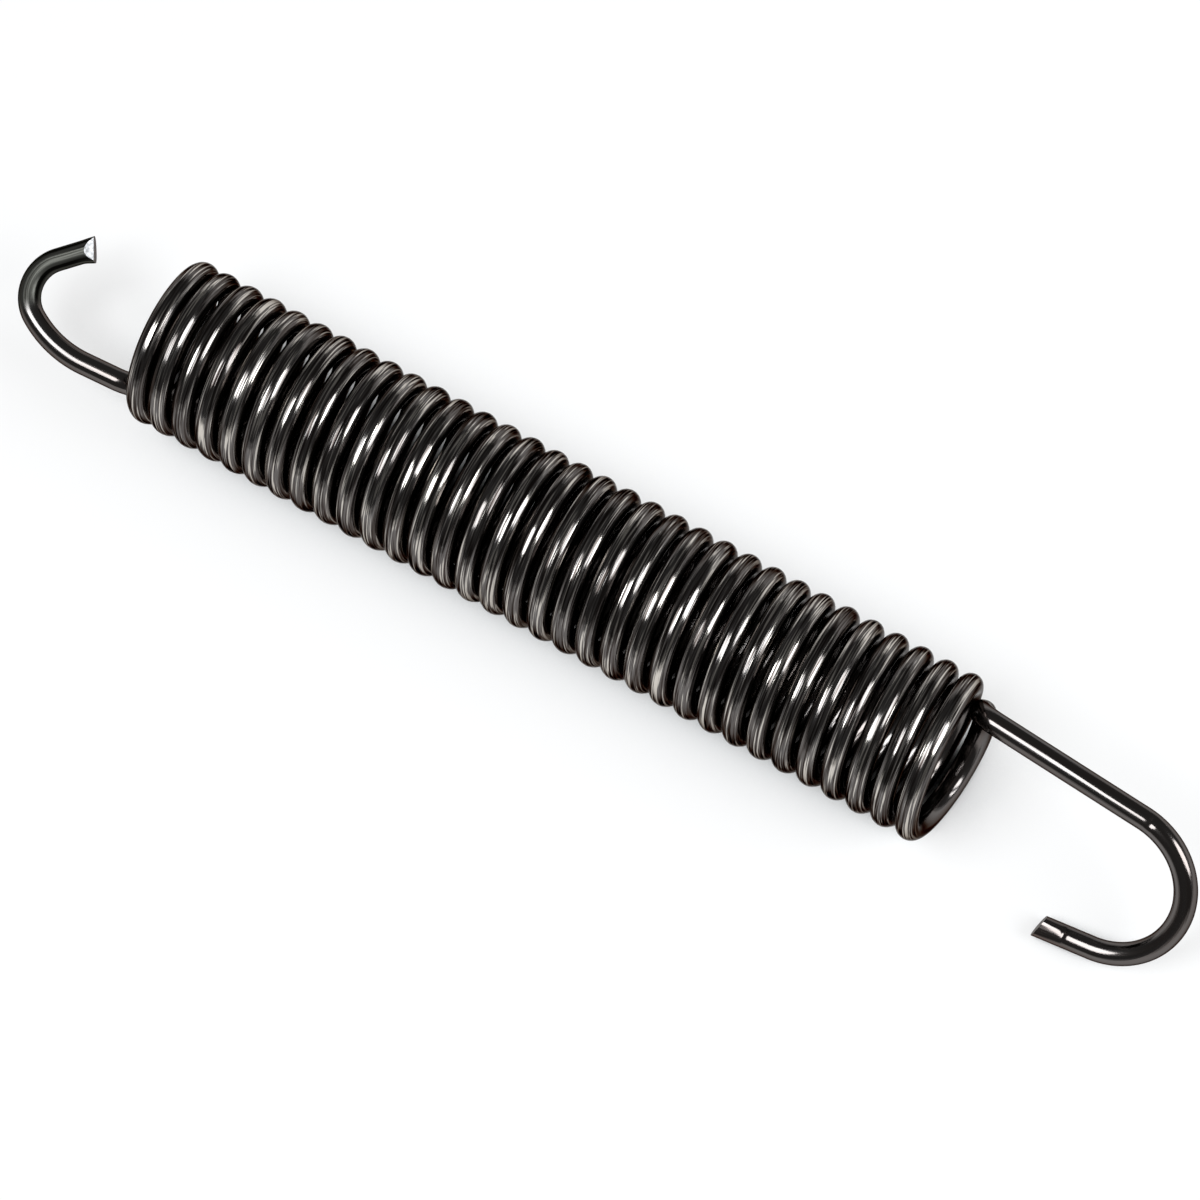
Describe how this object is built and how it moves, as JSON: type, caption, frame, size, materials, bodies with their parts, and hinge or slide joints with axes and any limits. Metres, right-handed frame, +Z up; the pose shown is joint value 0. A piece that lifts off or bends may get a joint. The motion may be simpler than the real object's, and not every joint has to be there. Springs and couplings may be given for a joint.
{
  "type": "pedal return spring",
  "caption": "Extension spring of dark steel wire with a long open coil and an unequal hook at each end, for pulling a pedal back to rest.",
  "frame": {"origin": "middle of the overall length and width, at floor level, with the spring lying at rest on its coil and the tip of the long hook", "axes": "+X along the coil axis towards the long hook, +Y across, +Z up"},
  "size_m": [0.1424, 0.0196, 0.0184],
  "materials": {
    "spring_steel": "dark oiled spring steel, drawn and coiled, bare bright metal at the cut ends"
  },
  "bodies": {
    "root": {"spring_wire": "spring_steel"}
  },
  "joints": []
}
